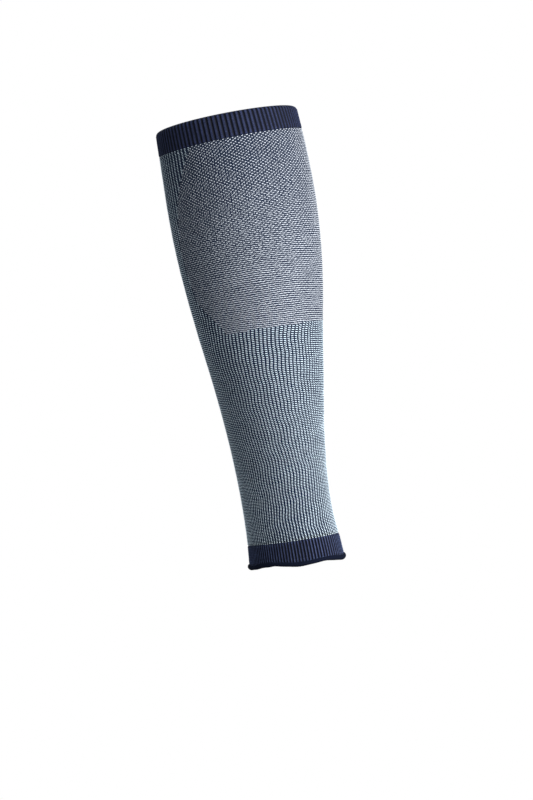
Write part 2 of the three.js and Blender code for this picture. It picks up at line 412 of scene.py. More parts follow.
def leaf(side):
    """One leg of a stitch: its points, faces and place on the stitch's own flat map."""
    foot = np.array(FOOT) * (side, 1)
    spine = np.array(SHOULDER) * (side, 1) - foot
    across = np.array([spine[1], -spine[0]]) / np.linalg.norm(spine)
    points, places = [], []
    for step, half in zip(LEAF_STEPS, LEAF_HALF_WIDTHS):
        for sign in ((1, -1) if half else (1,)):
            points.append([*(foot + spine * step + across * half * sign), -0.12])
            # The last number of a place is the point's height; the yarn shader paints shade where it is
            # low, round the rim.
            places.append([0.5 + 0.23 * side + 0.7 * sign * half, 0.04 + 0.92 * step, 0])
    for step, height in zip(LEAF_STEPS[1:4], RIDGE_HEIGHTS):
        points.append([*(foot + spine * step), height])
        places.append([0.5 + 0.23 * side, 0.04 + 0.92 * step, height])
    faces = [(0, 1, 8), (0, 8, 2), (7, 6, 10), (7, 10, 5)]
    faces += [(1, 3, 9, 8), (3, 5, 10, 9), (2, 8, 9, 4), (4, 9, 10, 6)]
    return points, faces, places


def stitch_mesh(name):
    points, faces, places = [], [], []
    for side in (-1, 1):
        more, around, where = leaf(side)
        faces += [[index + len(points) for index in face] for face in around]
        points += more
        places += where
    mesh = bpy.data.meshes.new(name)
    mesh.from_pydata(points, [], faces)
    place = mesh.attributes.new("place", "FLOAT_VECTOR", "POINT")
    place.data.foreach_set("vector", np.array(places, np.float32).ravel())
    mesh.shade_smooth()
    return mesh


stitch = new_object("stitch", stitch_mesh("stitch"))
normals = [face.normal.z for face in stitch.data.polygons]
print("stitch:", len(stitch.data.loop_triangles), "lowest face normal z %.2f" % min(normals))

# %% [markdown]
# ## Setting stitches on the cloth
# Stitches repeat by the thousand along two directions, which is what Geometry Nodes do best. An
# array or a particle system would lose track of the leg's taper. The tree numbers its points by
# rib and course, looks up where that pair of numbers lies on a guide sheet, measures the two
# pitches there, and sets a stitch of that size, leaning by a fixed amount and a little chance.
# Round the shin side its stitches are narrower, so that more of the dark ground shows there.

# %% A guide sheet for the stitches
def guide_sheet(name, point_rings, up_values, across_values, zone_rings=None):
    """An open grid whose UV map `knit` holds the share round and the share up."""
    rows, columns = len(point_rings), len(across_values)
    row, column = np.meshgrid(np.arange(rows - 1), np.arange(columns - 1), indexing="ij")
    corners = [(row, column), (row, column + 1), (row + 1, column + 1), (row + 1, column)]
    faces = np.stack([r * columns + c for r, c in corners], -1).reshape(-1, 4)
    mesh = bpy.data.meshes.new(name)
    mesh.from_pydata(to_frame(np.concatenate(point_rings)).tolist(), [], faces.tolist())
    across = np.asarray(across_values)
    up = np.asarray(up_values)
    uv_values = np.stack([np.stack([across[c], up[r]], -1) for r, c in corners], -2)
    uv = mesh.uv_layers.new(name="knit")
    uv.data.foreach_set("uv", uv_values.astype(np.float32).ravel())
    zone = mesh.attributes.new("zone", "FLOAT", "POINT")
    if zone_rings is not None:
        zone.data.foreach_set("value", np.concatenate(zone_rings).astype(np.float32))
    return new_object(name, mesh)


OVERLAP = 2  # ribs by which a guide runs past its own start
guide_ribs = np.arange(-OVERLAP, RIBS + OVERLAP + 0.5, 0.5)
guide_rows = [knit_ring(guide_ribs, course, GROUND_INSET) for course in range(COURSES + 1)]
leg_guide = guide_sheet(
    "leg_guide",
    seam_lift([points for points, _, _ in guide_rows], range(COURSES + 1)),
    np.arange(COURSES + 1) / COURSES,
    guide_ribs / RIBS,
    [beyond_zone(turn, at) for _, turn, at in guide_rows],
)
print("leg_guide:", len(leg_guide.data.polygons), "faces")


# %% A small helper that builds node trees
class Tree:
    """Builds a geometry node tree with named inputs."""

    def __init__(self, name, inputs):
        self.tree = bpy.data.node_groups.new(name, "GeometryNodeTree")
        self.ids = {}
        for label, kind in inputs.items():
            socket = self.tree.interface.new_socket(label, in_out="INPUT", socket_type=kind)
            self.ids[label] = socket.identifier
        self.tree.interface.new_socket("Geometry", in_out="OUTPUT", socket_type="NodeSocketGeometry")
        self.inputs = self.tree.nodes.new("NodeGroupInput").outputs
        self.result = self.tree.nodes.new("NodeGroupOutput").inputs[0]

    def put(self, socket, value):
        if isinstance(value, bpy.types.NodeSocket):
            self.tree.links.new(value, socket)
        else:
            socket.default_value = value

    def node(self, kind, settings=None, **inputs):
        made = self.tree.nodes.new(kind)
        for name, value in (settings or {}).items():
            setattr(made, name, value)
        for label, value in inputs.items():
            wanted = label.replace("_", " ")
            found = [s for s in made.inputs if s.enabled and s.name == wanted]
            self.put(found[0], value)
        return made

    def math(self, operation, *values):
        made = self.tree.nodes.new("ShaderNodeMath")
        made.operation = operation
        for socket, value in zip(made.inputs, values):
            self.put(socket, value)
        return made.outputs[0]

    def vector(self, operation, *values):
        made = self.tree.nodes.new("ShaderNodeVectorMath")
        made.operation = operation
        for socket, value in zip(made.inputs, values):
            self.put(socket, value)
        return made.outputs["Value" if operation == "LENGTH" else "Vector"]

    def combine(self, x, y, z):
        return self.node("ShaderNodeCombineXYZ", X=x, Y=y, Z=z).outputs[0]

    def attribute(self, name, data_type):
        made = self.node("GeometryNodeInputNamedAttribute", {"data_type": data_type}, Name=name)
        return made.outputs["Attribute"]

    def store(self, geometry, name, data_type, domain, value):
        settings = {"data_type": data_type, "domain": domain}
        made = self.node(
            "GeometryNodeStoreNamedAttribute", settings, Geometry=geometry, Name=name, Value=value,
        )
        return made.outputs["Geometry"]


# %% The tree that sets stitches
STITCH_INPUTS = {
    "Guide": "NodeSocketObject",
    "Stitch": "NodeSocketObject",
    "Yarn": "NodeSocketMaterial",
    "Ribs": "NodeSocketInt",
    "First course": "NodeSocketInt",
    "Courses here": "NodeSocketInt",
    "All courses": "NodeSocketInt",
    "Offset": "NodeSocketFloat",
    "Stagger": "NodeSocketFloat",
    "Zone": "NodeSocketFloat",
    "Height": "NodeSocketFloat",
    "Foot width": "NodeSocketFloat",
    "Foot length": "NodeSocketFloat",
    "Foot slant": "NodeSocketFloat",
    "Top width": "NodeSocketFloat",
    "Top length": "NodeSocketFloat",
    "Top slant": "NodeSocketFloat",
    "Unevenness": "NodeSocketFloat",
    "Wander": "NodeSocketFloat",
    "Narrow at": "NodeSocketFloat",
    "Narrowing": "NodeSocketFloat",
    "Seed": "NodeSocketInt",
}


HALF_COURSE = 0.4  # just under half, so that no sample leaves the guide
SHIN_SIDE = 0.7  # the share of the way round at which the stitches are narrowest


def stitch_tree():
    t = Tree("set_stitches", STITCH_INPUTS)
    i = t.inputs
    index = t.node("GeometryNodeInputIndex").outputs[0]
    rib = t.math("FLOORED_MODULO", index, i["Ribs"])
    course = t.math("ADD", t.math("FLOOR", t.math("DIVIDE", index, i["Ribs"])), i["First course"])
    odd = t.math("FLOORED_MODULO", course, 2.0)

    def chance(low, high, more):
        made = t.node("FunctionNodeRandomValue", {"data_type": "FLOAT"})
        values = {"Min": low, "Max": high, "ID": index, "Seed": t.math("ADD", i["Seed"], float(more))}
        for label, value in values.items():
            t.put([s for s in made.inputs if s.enabled and s.name == label][0], value)
        return [s for s in made.outputs if s.enabled][0]

    climb = t.node("ShaderNodeMapRange", {"interpolation_type": "SMOOTHSTEP"}, Value=course)
    t.put(climb.inputs["From Min"], i["First course"])
    t.put(climb.inputs["From Max"], t.math("ADD", i["First course"], i["Courses here"]))
    way_up = climb.outputs["Result"]

    def from_foot_to_top(what):
        foot, top = i["Foot " + what], i["Top " + what]
        return t.math("MULTIPLY_ADD", t.math("SUBTRACT", top, foot), way_up, foot)

    regular = t.math("MULTIPLY_ADD", odd, i["Stagger"], i["Offset"])
    aside = t.math("MULTIPLY_ADD", chance(-1.0, 1.0, 4), i["Wander"], regular)
    raised = t.math("MULTIPLY_ADD", chance(-1.0, 1.0, 5), i["Wander"], 0.5)
    u = t.math("DIVIDE", t.math("ADD", rib, aside), i["Ribs"])
    v = t.math("DIVIDE", t.math("ADD", course, raised), i["All courses"])
    half_rib = t.math("DIVIDE", 0.5, i["Ribs"])
    half_course = t.math("DIVIDE", HALF_COURSE, i["All courses"])

    guide = t.node("GeometryNodeObjectInfo", Object=i["Guide"]).outputs["Geometry"]
    position = t.node("GeometryNodeInputPosition").outputs[0]
    knit = t.attribute("knit", "FLOAT_VECTOR")

    def look_up(value, data_type, at_u, at_v):
        where = t.combine(at_u, at_v, 0.0)
        made = t.node("GeometryNodeSampleUVSurface", {"data_type": data_type}, Mesh=guide, UV_Map=knit)
        t.put([s for s in made.inputs if s.enabled and s.name == "Value"][0], value)
        t.put([s for s in made.inputs if s.enabled and s.name == "Sample UV"][0], where)
        return [s for s in made.outputs if s.enabled][0]

    here = look_up(position, "FLOAT_VECTOR", u, v)
    right = look_up(position, "FLOAT_VECTOR", t.math("ADD", u, half_rib), v)
    left = look_up(position, "FLOAT_VECTOR", t.math("SUBTRACT", u, half_rib), v)
    above = look_up(position, "FLOAT_VECTOR", u, t.math("ADD", v, half_course))
    below = look_up(position, "FLOAT_VECTOR", u, t.math("SUBTRACT", v, half_course))
    zone = look_up(t.attribute("zone", "FLOAT"), "FLOAT", u, v)
    along_course = t.vector("SUBTRACT", right, left)
    along_wale = t.vector("SUBTRACT", above, below)
    outwards = t.vector("CROSS_PRODUCT", along_course, along_wale)

    facing = t.node(
        "FunctionNodeAxesToRotation", {"primary_axis": "Z", "secondary_axis": "Y"},
        Primary_Axis=outwards, Secondary_Axis=along_wale,
    ).outputs[0]
    uneven_tilt = t.math("MULTIPLY", chance(-1.0, 1.0, 1), i["Unevenness"])
    tilt = t.math("ADD", from_foot_to_top("slant"), uneven_tilt)
    spin = t.node("FunctionNodeAxisAngleToRotation", Axis=(0.0, 0.0, 1.0), Angle=tilt).outputs[0]
    turned = t.node(
        "FunctionNodeRotateRotation", {"rotation_space": "LOCAL"}, Rotation=facing, Rotate_By=spin,
    ).outputs[0]
    swell = t.math("ADD", 1.0, t.math("MULTIPLY", chance(-1.0, 1.0, 2), i["Unevenness"]))
    away = t.math("MULTIPLY", t.math("SUBTRACT", u, i["Narrow at"]), 2 * math.pi)
    near = t.math("POWER", t.math("MULTIPLY_ADD", t.math("COSINE", away), 0.5, 0.5), 3.0)
    closed_up = t.math("SUBTRACT", 1.0, t.math("MULTIPLY", near, i["Narrowing"]))
    stretched = t.math("MULTIPLY", t.vector("LENGTH", along_course), from_foot_to_top("width"))
    wide = t.math("MULTIPLY", stretched, closed_up)
    long = t.math("MULTIPLY", t.vector("LENGTH", along_wale), from_foot_to_top("length"))
    high = t.math("MULTIPLY", i["Height"], swell)
    size = t.combine(t.math("MULTIPLY", wide, swell), t.math("MULTIPLY", long, 0.5 / HALF_COURSE), high)

    points = t.node(
        "GeometryNodePoints", Count=t.math("MULTIPLY", i["Ribs"], i["Courses here"]), Position=here,
    ).outputs[0]
    wrong = t.math("LESS_THAN", t.math("MULTIPLY", zone, i["Zone"]), 0.0)
    cell = t.combine(t.math("DIVIDE", rib, i["Ribs"]), t.math("DIVIDE", course, i["All courses"]), 0.0)
    points = t.store(points, "cell", "FLOAT_VECTOR", "POINT", cell)
    points = t.store(points, "tint", "FLOAT", "POINT", chance(0.0, 1.0, 3))
    points = t.store(points, "turned", "QUATERNION", "POINT", turned)
    points = t.store(points, "size", "FLOAT_VECTOR", "POINT", size)
    kept = t.node("GeometryNodeDeleteGeometry", {"domain": "POINT"}, Geometry=points, Selection=wrong)
    shape = t.node("GeometryNodeObjectInfo", Object=i["Stitch"]).outputs["Geometry"]
    placed = t.node(
        "GeometryNodeInstanceOnPoints", Points=kept.outputs[0], Instance=shape,
        Rotation=t.attribute("turned", "QUATERNION"), Scale=t.attribute("size", "FLOAT_VECTOR"),
    ).outputs[0]
    solid = t.node("GeometryNodeRealizeInstances", Geometry=placed).outputs[0]
    cell_width = t.math("DIVIDE", 1.0, i["Ribs"])
    cell_height = t.math("DIVIDE", 1.0, i["All courses"])
    cell_size = t.combine(cell_width, cell_height, 0.0)
    spread = t.vector("MULTIPLY", t.attribute("place", "FLOAT_VECTOR"), cell_size)
    flat = t.vector("ADD", t.attribute("cell", "FLOAT_VECTOR"), spread)
    solid = t.store(solid, "OFBake", "FLOAT2", "CORNER", flat)
    done = t.node("GeometryNodeSetMaterial", Geometry=solid, Material=i["Yarn"]).outputs[0]
    t.put(t.result, done)
    return t


Shape = namedtuple("Shape", "width length slant", defaults=(0.0,))
STITCHES = stitch_tree()
print("set_stitches:", len(STITCHES.tree.nodes), "nodes")


def set_stitches(name, foot, top, **inputs):
    """Runs the tree and returns its result as a plain mesh object.

    The stitches change slowly from their `foot` shape to their `top` shape on the way up.
    """
    carrier = new_object(name, bpy.data.meshes.new(name))
    modifier = carrier.modifiers.new("stitches", "NODES")
    modifier.node_group = STITCHES.tree
    values = {"Stitch": stitch, "Ribs": RIBS, "Narrow at": SHIN_SIDE}
    values.update({label: 0.0 for label in ("Offset", "Stagger", "Zone", "Wander", "Narrowing")})
    values.update({label.replace("_", " "): value for label, value in inputs.items()})
    for end, shape in (("Foot ", foot), ("Top ", top)):
        values.update({end + label: value for label, value in shape._asdict().items()})
    for label, value in values.items():
        modifier[STITCHES.ids[label]] = value
    depsgraph = bpy.context.evaluated_depsgraph_get()
    mesh = bpy.data.meshes.new_from_object(carrier.evaluated_get(depsgraph))
    mesh.name = name
    carrier.modifiers.remove(modifier)
    empty = carrier.data
    carrier.data = mesh
    bpy.data.meshes.remove(empty)
    for spare in ("turned", "size", "cell"):
        if spare in mesh.attributes:
            mesh.attributes.remove(mesh.attributes[spare])
    mesh.shade_smooth()
    mesh.calc_loop_triangles()
    print(f"{name}: {len(mesh.loop_triangles)} triangles")
    return carrier


# %% [markdown]
# ## Yarn
# Seen close, the cloth is textured nylon: dull, a little fuzzy, and paler where fibres stand up
# at a grazing angle. One shader group gives fine fibres along the yarn, slow changes of colour
# and painted shade where the yarn sinks, and each material sets it to its own yarn. A very little
# sheen on the Principled shader keeps the edges of the leg from going hard.

# %% A shader group for yarn
def shader_group(name, inputs, outputs):
    group = bpy.data.node_groups.new(name, "ShaderNodeTree")
    for label, kind, value in inputs:
        socket = group.interface.new_socket(label, in_out="INPUT", socket_type=kind)
        socket.default_value = value
    for label, kind in outputs:
        group.interface.new_socket(label, in_out="OUTPUT", socket_type=kind)
    return group, group.nodes.new("NodeGroupInput"), group.nodes.new("NodeGroupOutput")


def yarn_group():
    group, inside, result = shader_group(
        "yarn",
        [
            ("Colour", "NodeSocketColor", (0.5, 0.5, 0.5, 1)),
            ("Shade", "NodeSocketColor", (0.1, 0.1, 0.1, 1)),
            ("Tint", "NodeSocketFloat", 0.5),
            ("Rise", "NodeSocketFloat", 1.0),
            # the dark colour of the painted shade where the yarn sinks
            ("Hollow shade", "NodeSocketColor", (0.02, 0.02, 0.02, 1)),
            ("Variation", "NodeSocketFloat", 0.2),
            ("Fibre scale", "NodeSocketFloat", 2500.0),
        ],
        [("Colour", "NodeSocketColor"), ("Height", "NodeSocketFloat")],
    )
    nodes, link = group.nodes, group.links.new
    where = nodes.new("ShaderNodeTexCoord")
    fibres = nodes.new("ShaderNodeTexNoise")
    fibres.inputs["Detail"].default_value = 3
    link(where.outputs["Object"], fibres.inputs["Vector"])
    link(inside.outputs["Fibre scale"], fibres.inputs["Scale"])
    patches = nodes.new("ShaderNodeTexNoise")
    patches.inputs["Scale"].default_value = 60
    patches.inputs["Detail"].default_value = 2
    link(where.outputs["Object"], patches.inputs["Vector"])
    blend = nodes.new("ShaderNodeMath")
    blend.operation = "ADD"
    link(inside.outputs["Tint"], blend.inputs[0])
    link(patches.outputs["Fac"], blend.inputs[1])
    amount = nodes.new("ShaderNodeMapRange")
    amount.inputs["From Min"].default_value = 1.55
    amount.inputs["From Max"].default_value = 0.35
    amount.inputs["To Min"].default_value = 0
    link(blend.outputs[0], amount.inputs["Value"])
    link(inside.outputs["Variation"], amount.inputs["To Max"])
    mix = nodes.new("ShaderNodeMix")
    mix.data_type = "RGBA"
    link(amount.outputs["Result"], mix.inputs["Factor"])
    link(inside.outputs["Colour"], mix.inputs[6])
    link(inside.outputs["Shade"], mix.inputs[7])
    # Where Rise is low, on the rims of stitches and in the grooves of ribs, the colour runs to a dark
    # painted shade.
    risen = nodes.new("ShaderNodeMapRange")
    risen.inputs["From Max"].default_value = 0.5
    link(inside.outputs["Rise"], risen.inputs["Value"])
    hollow_shading = nodes.new("ShaderNodeMix")
    hollow_shading.data_type = "RGBA"
    link(risen.outputs["Result"], hollow_shading.inputs["Factor"])
    link(inside.outputs["Hollow shade"], hollow_shading.inputs[6])
    link(mix.outputs[2], hollow_shading.inputs[7])
    link(hollow_shading.outputs[2], result.inputs["Colour"])
    link(fibres.outputs["Fac"], result.inputs["Height"])
    return group


YARN = yarn_group()


def loops(nodes, link):
    """A mask with one bump to each rib and course, for cloth that has no stitches set on it: between
    the bumps it paints shade.
    """
    counts = nodes.new("ShaderNodeUVMap")
    counts.uv_map = "knit"
    parts = nodes.new("ShaderNodeSeparateXYZ")
    link(counts.outputs["UV"], parts.inputs[0])
    both = nodes.new("ShaderNodeMath")
    both.operation = "MULTIPLY"
    for part, socket in zip("XY", both.inputs):
        turns = nodes.new("ShaderNodeMath")
        turns.operation = "MULTIPLY"
        turns.inputs[1].default_value = math.pi
        wave = nodes.new("ShaderNodeMath")
        wave.operation = "SINE"
        link(parts.outputs[part], turns.inputs[0])
        link(turns.outputs[0], wave.inputs[0])
        link(wave.outputs[0], socket)
    bump = nodes.new("ShaderNodeMath")
    bump.operation = "ABSOLUTE"
    link(both.outputs[0], bump.inputs[0])
    return bump.outputs[0]


def yarn_material(
    name, colour, shade, hollow_shade, roughness=0.6, sheen=0.03, variation=0.6, specular=0.2,
    tinted_and_shaded=True, loop_shaded=False,
):
    """`colour` and `shade` are a yarn's palest and darkest strands, and the third colour is the painted
    shade on its sunk edges.
    """
    material = bpy.data.materials.new(name)
    material.use_nodes = True
    nodes, link = material.node_tree.nodes, material.node_tree.links.new
    principled = nodes["Principled BSDF"]
    yarn = nodes.new("ShaderNodeGroup")
    yarn.node_tree = YARN
    yarn.inputs["Colour"].default_value = (*colour, 1)
    yarn.inputs["Shade"].default_value = (*shade, 1)
    yarn.inputs["Variation"].default_value = variation
    yarn.inputs["Hollow shade"].default_value = (*hollow_shade, 1)
    # Random tint, and painted shade from the height held in each point's place.
    if tinted_and_shaded:
        tint = nodes.new("ShaderNodeAttribute")
        tint.attribute_name = "tint"
        link(tint.outputs["Fac"], yarn.inputs["Tint"])
        place = nodes.new("ShaderNodeAttribute")
        place.attribute_name = "place"
        rise = nodes.new("ShaderNodeSeparateXYZ")
        link(place.outputs["Vector"], rise.inputs[0])
        link(rise.outputs["Z"], yarn.inputs["Rise"])
    # Painted shade between the loops, for cloth with no stitches on it.
    if loop_shaded:
        link(loops(nodes, link), yarn.inputs["Rise"])
    link(yarn.outputs["Colour"], principled.inputs["Base Color"])
    relief = nodes.new("ShaderNodeBump")
    relief.inputs["Strength"].default_value = 0.5
    relief.inputs["Distance"].default_value = 0.1 * MM
    link(yarn.outputs["Height"], relief.inputs["Height"])
    link(relief.outputs["Normal"], principled.inputs["Normal"])
    principled.inputs["Roughness"].default_value = roughness
    principled.inputs["Specular IOR Level"].default_value = specular
    principled.inputs["Sheen Weight"].default_value = sheen
    principled.inputs["Sheen Roughness"].default_value = 0.45
    principled.inputs["Sheen Tint"].default_value = (0.72, 0.8, 1.0, 1)
    return material


# The dark navy painted as shade round the rims of the pale stitches.
STITCH_EDGE_SHADE = (0.03, 0.045, 0.08)
PLAIN = {"tinted_and_shaded": False, "roughness": 0.8, "specular": 0.05, "sheen": 0.01}
WELT = {"variation": 0.8, "roughness": 0.7, "specular": 0.1}
pale_calf = yarn_material("pale_yarn_calf", (0.53, 0.555, 0.59), (0.28, 0.295, 0.335), STITCH_EDGE_SHADE)
grey_calf = yarn_material("grey_yarn_calf", (0.41, 0.435, 0.475), (0.20, 0.22, 0.255), STITCH_EDGE_SHADE)
pale_ribs = yarn_material(
    "pale_yarn_ribs", (0.78, 0.91, 0.99), (0.46, 0.54, 0.61), STITCH_EDGE_SHADE, variation=0.5,
)
navy_ground = yarn_material(
    "navy_ground", (0.011, 0.017, 0.034), (0.006, 0.009, 0.018), STITCH_EDGE_SHADE, **PLAIN,
)
# The inside has no stitches, so painted shade between its loops stands in for their relief.
leg_inside = yarn_material(
    "leg_inside", (0.20, 0.23, 0.29), (0.07, 0.08, 0.11), (0.01, 0.013, 0.025), loop_shaded=True, **PLAIN,
)
# Each welt's third colour is the near-black painted shade in its grooves and round its stitches.
navy_welt = yarn_material(
    "navy_welt", (0.019, 0.025, 0.062), (0.008, 0.011, 0.029), (0.0005, 0.001, 0.004), **WELT,
)
navy_ankle = yarn_material(
    "navy_ankle_welt", (0.048, 0.064, 0.132), (0.016, 0.022, 0.055), (0.0005, 0.001, 0.005), **WELT,
)
# The bead's navy yarn is set near black: the yarn's own navy with painted shade for its shadowed
# underside.
roll_yarn_and_shade = yarn_material("roll_yarn_and_shade", (0.003, 0.005, 0.014), (0.002, 0.003, 0.007), (0, 0, 0), **PLAIN)
print("materials:", [m.name for m in bpy.data.materials])

# %% [markdown]
# ## The leg's stitches
# Down the calf the pale stitches are staggered like a draught board, and elsewhere they stand
# one above the other on the ribs. Both come from the same tree. The rib zone holds more stitches
# than one mesh should, so it is made in three pieces.

# %% Pale stitches
leg_ground.data.materials.append(navy_ground)
leg_ground.data.materials.append(leg_inside)

PALE = {"Guide": leg_guide, "All_courses": COURSES, "Unevenness": 0.16, "Narrowing": 0.36}
CALF_FOOT = -100  # a little below the calf zone
calf_foot_share = (CALF_FOOT - ANKLE_SEAM.at) / (TOP_SEAM.at - ANKLE_SEAM.at)
calf_first = int(np.searchsorted(course_share(np.arange(COURSES)), calf_foot_share))
RIB_SHARE = 80  # courses of rib stitches to one piece
CALF = {
    **PALE, "Zone": -1.0, "Wander": 0.08,
    "First_course": calf_first, "Courses_here": COURSES - calf_first,
}
calf_stitches = set_stitches(
    "calf_stitches", Shape(0.84, 0.41, 0.05), Shape(0.46, 0.56, 0.12), **CALF,
    Yarn=pale_calf, Stagger=0.5, Height=0.30 * MM, Seed=11,
)
calf_filling = set_stitches(
    "calf_filling", Shape(0.86, 0.35, 0.05), Shape(0.10, 0.20, 0.12), **CALF,
    Yarn=grey_calf, Offset=0.5, Stagger=-0.5, Height=0.24 * MM, Seed=13,
)
ANKLE_SHAPE = Shape(0.56, 0.46, 0.1)
SHIN_SHAPE = Shape(0.84, 0.34, 0.05)
KNEE_SHAPE = Shape(0.66, 0.28, 0.05)
RIBBED = {
    **PALE, "Unevenness": 0.08, "Zone": 1.0, "Wander": 0.02,
    "Yarn": pale_ribs, "Height": 0.34 * MM,
}
knee_way = COURSES - 2 * RIB_SHARE
rib_stitches_lower = set_stitches(
    "rib_stitches_lower", ANKLE_SHAPE, SHIN_SHAPE, **RIBBED,
    First_course=0, Courses_here=RIB_SHARE, Seed=23,
)
rib_stitches_middle = set_stitches(
    "rib_stitches_middle", SHIN_SHAPE, SHIN_SHAPE, **RIBBED,
    First_course=RIB_SHARE, Courses_here=RIB_SHARE, Seed=31,
)
rib_stitches_upper = set_stitches(
    "rib_stitches_upper", SHIN_SHAPE, KNEE_SHAPE, **RIBBED,
    First_course=2 * RIB_SHARE, Courses_here=knee_way, Seed=37,
)

# %% [markdown]
# ## The welts
# A welt is knitted on fewer, tighter courses of navy yarn and elastic. Its ribs stand close
# together with deep grooves between them, which painted shade turns black. Each welt is a shell
# with rounded ribs in its outer points, and the same tree sets its stitches along the crests.

# %% Welt shells
WELT_COLUMNS = 8  # to each rib
welt_ribs = np.arange(RIBS * WELT_COLUMNS) / WELT_COLUMNS
WELT_GROOVE = 0.95
FOLD_RADIUS = 2.6


def rib_profile(ribs):
    """0 on the crest of a rib and 1 in the groove, with a round crest and a narrow groove."""
    off = np.abs(np.mod(ribs + 0.5, 1) - 0.5) * 2
    return 1 - np.sqrt(np.clip(1 - off**1.7, 0, 1))


def welt_ring(lower, upper, share, lift, inset, groove):
    insets = inset + groove * rib_profile(welt_ribs)
    return ring(welt_ribs / RIBS, lower, upper, share, lift, insets)[0]


def fold_row(degrees, groove):
    """A ring of the rounded fold, `degrees` over from upright."""
    turn = math.radians(degrees)
    return (1, FOLD_RADIUS * (math.sin(turn) - 1), 0.2 + FOLD_RADIUS * (1 - math.cos(turn)), groove)


TOP_ROWS = [(0, 0.15, 0.6, 0.4 * WELT_GROOVE), (0, 0.7, 0.2, WELT_GROOVE)]
TOP_ROWS += [(share, 0, 0.2, WELT_GROOVE) for share in np.linspace(0.12, 0.82, 8)]
FOLD_FADE = ((0, 1), (20, 1), (38, 0.95), (55, 0.8), (70, 0.5), (85, 0.2))  # degrees, rib left
TOP_ROWS += [fold_row(degrees, WELT_GROOVE * fade) for degrees, fade in FOLD_FADE]
TOP_ROWS += [(1, -0.5, FOLD_RADIUS + 0.6, 0), (1, -1.4, FOLD_RADIUS + 0.9, 0)]
TOP_ROWS += [(1, -2.8, FOLD_RADIUS + 0.5, 0)]
TOP_ROWS += [(share, 0, 2.0, 0) for share in (0.7, 0.45, 0.2)]
TOP_ROWS += [(0, -0.9, 1.9, 0), (0, -0.9, 1.45, 0), (0, 0.15, 1.4, 0)]  # a lip behind the seam
ANKLE_ROWS = [(0, -0.6, 0.9, 0), (0, 0.3, 0.5, 0.6 * WELT_GROOVE), (0, 0.9, 0.2, WELT_GROOVE)]
ANKLE_ROWS += [(share, 0, 0.2, WELT_GROOVE) for share in np.linspace(0.12, 0.88, 9)]
ANKLE_ROWS += [(1, -0.8, 0.2, WELT_GROOVE), (1, -0.15, 0.6, 0.4 * WELT_GROOVE), (1, -0.15, 1.4, 0)]
ANKLE_ROWS += [(1, 0.9, 1.45, 0), (1, 0.9, 1.9, 0)]  # a lip behind the seam
ANKLE_ROWS += [(0.66, 0, 1.8, 0), (0.33, 0, 1.8, 0), (0, -0.6, 1.5, 0)]


def welt_shell(name, lower, upper, rows, stitch_courses, material, crest):
    """`crest` says how narrow the crest of a rib is that stays clear of the painted shade in the
    grooves.
    """
    rings = [welt_ring(lower, upper, *row) for row in rows]
    # 1 on a crest and 0 deep in a groove: the painted shade grows as this falls.
    rises = [(1 - rib_profile(welt_ribs) * row[3] / WELT_GROOVE) ** crest for row in rows]
    piece = closed_shell(name, rings, [row[0] * stitch_courses for row in rows], None, rises)
    piece.data.materials.append(material)
    print(f"{name}: {len(piece.data.polygons)} faces")
    return piece


TOP_COURSES = 15
ANKLE_COURSES = 12
top_welt = welt_shell("top_welt_shell", TOP_SEAM, TOP_EDGE, TOP_ROWS, TOP_COURSES, navy_welt, 12)
ankle_welt = welt_shell(
    "ankle_welt_shell", ROLL_SEAM, ANKLE_SEAM, ANKLE_ROWS, ANKLE_COURSES, navy_ankle, 30,
)

# %% Welt stitches
def welt_guide(name, lower, upper, inset):
    shares = np.linspace(0, 1, 21)
    rows = [ring(guide_ribs / RIBS, lower, upper, share, 0, inset)[0] for share in shares]
    return guide_sheet(name, rows, shares, guide_ribs / RIBS)


top_guide = welt_guide("top_guide", TOP_SEAM, TOP_EDGE, 0.3)
ankle_guide = welt_guide("ankle_guide", ROLL_SEAM, ANKLE_SEAM, 0.3)
WELT_STITCH = {"Height": 0.3 * MM, "Unevenness": 0.15, "First_course": 1}
TOP_WELT_SHAPE = Shape(0.5, 0.95)
ANKLE_WELT_SHAPE = Shape(0.30, 0.98, 0.25)
top_welt_stitches = set_stitches(
    "top_welt_stitches", TOP_WELT_SHAPE, TOP_WELT_SHAPE, **WELT_STITCH,
    Yarn=navy_welt, Guide=top_guide,
    Courses_here=TOP_COURSES - 3, All_courses=TOP_COURSES, Seed=41,
)
ankle_welt_stitches = set_stitches(
    "ankle_welt_stitches", ANKLE_WELT_SHAPE, ANKLE_WELT_SHAPE, **WELT_STITCH,
    Yarn=navy_ankle, Guide=ankle_guide,
    Courses_here=ANKLE_COURSES - 2, All_courses=ANKLE_COURSES, Seed=43,
)

# %% [markdown]
# ## The rolled edge
# Flat knitting curls towards its face when nothing holds it, and here the last courses do so
# all round. A curve with a round bevel would be quick, but the roll is fuller where the cloth
# has more slack, so it is made from rings, with the small bumps of the purl side in its points.

# %% The bead
ROLL_RADIUS = 1.65
ROLL_DROP = 1.5  # from the seam to the middle of the bead
ROLL_INSET = 0.65  # from the welt's outer face in to the middle of the bead
ROLL_SIDES = 20
ROLL_COLUMNS = 6  # to each rib
PURL_HEIGHT = 0.16
roll_ribs = np.arange(RIBS * ROLL_COLUMNS) / ROLL_COLUMNS


def roll_ring(side):
    turn = 2 * math.pi * (side + 0.5) / ROLL_SIDES - math.pi / 2
    lean = side / ROLL_SIDES * 2  # the bumps run round the bead on a slant
    purl = PURL_HEIGHT * np.cos(2 * math.pi * (roll_ribs * 2 + lean))
    around = 2 * math.pi * roll_ribs / RIBS
    slack = 0.12 * np.sin(7 * around) + 0.08 * np.sin(17 * around)
    radius = ROLL_RADIUS + purl + slack
    insets = ROLL_INSET - radius * math.cos(turn)
    points = ring(roll_ribs / RIBS, ROLL_SEAM, ANKLE_SEAM, 0, -ROLL_DROP, insets)[0]
    points[:, 2] += radius * math.sin(turn)
    return points


